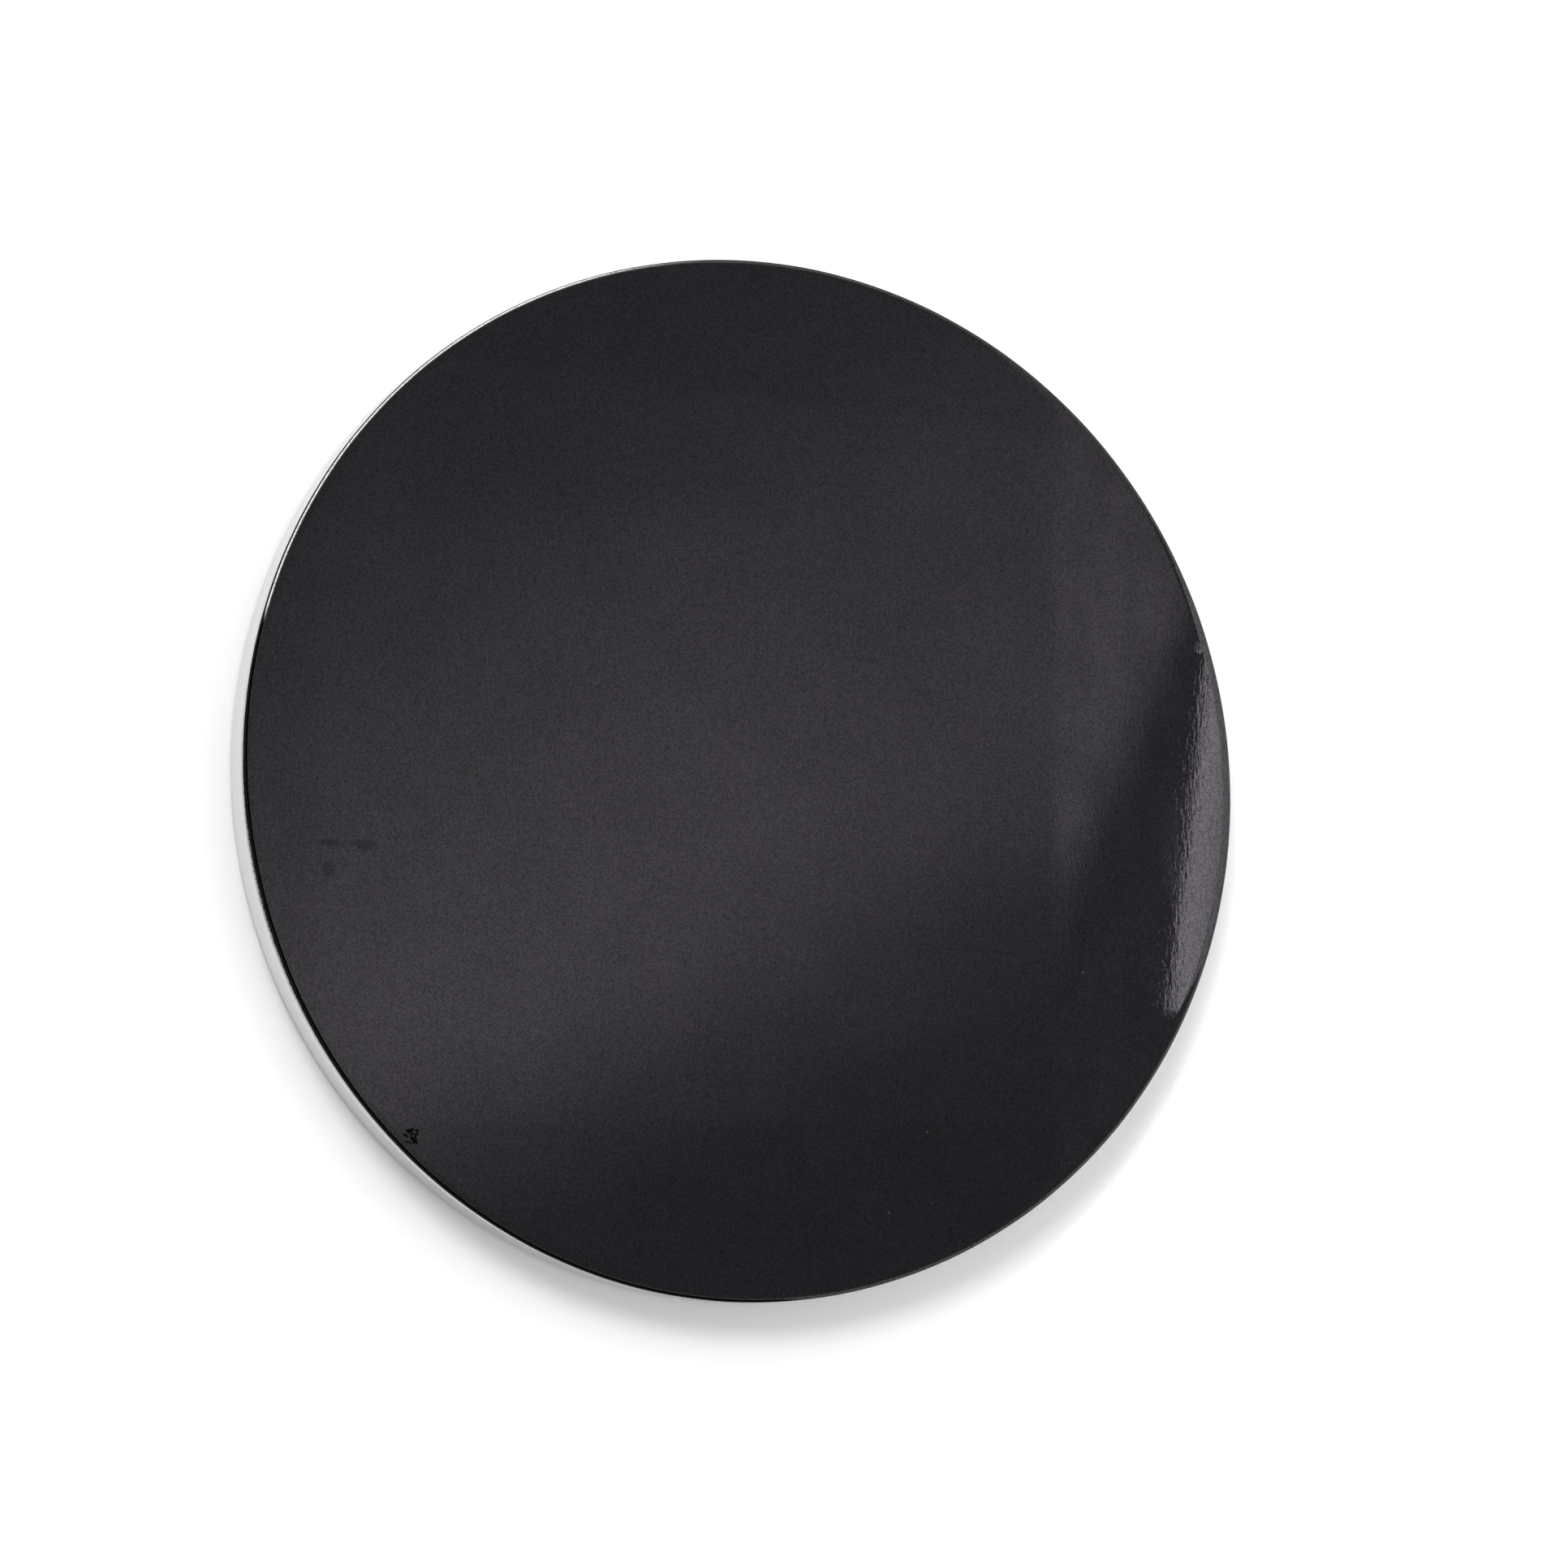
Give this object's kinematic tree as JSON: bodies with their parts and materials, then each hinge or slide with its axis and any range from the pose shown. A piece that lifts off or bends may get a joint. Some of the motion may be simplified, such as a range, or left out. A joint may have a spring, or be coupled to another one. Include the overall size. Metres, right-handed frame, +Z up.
{
  "type": "serving tray",
  "caption": "Flat round serving tray: gloss black enamel over a hollow aluminium casting with a bare satin side and rubber feet.",
  "frame": {"origin": "centre of the circle on the table that the feet stand on", "axes": "+Z up, along the tray's axis, out of the serving face; one foot lies on +X"},
  "size_m": [0.35, 0.35, 0.0185],
  "materials": {
    "cast_aluminium": "satin",
    "black_enamel": "gloss",
    "foot_rubber": "matte"
  },
  "bodies": {
    "root": {"tray_casting": "cast_aluminium", "enamel_face": "black_enamel", "foot_1": "foot_rubber", "foot_2": "foot_rubber", "foot_3": "foot_rubber", "foot_4": "foot_rubber"}
  },
  "joints": []
}
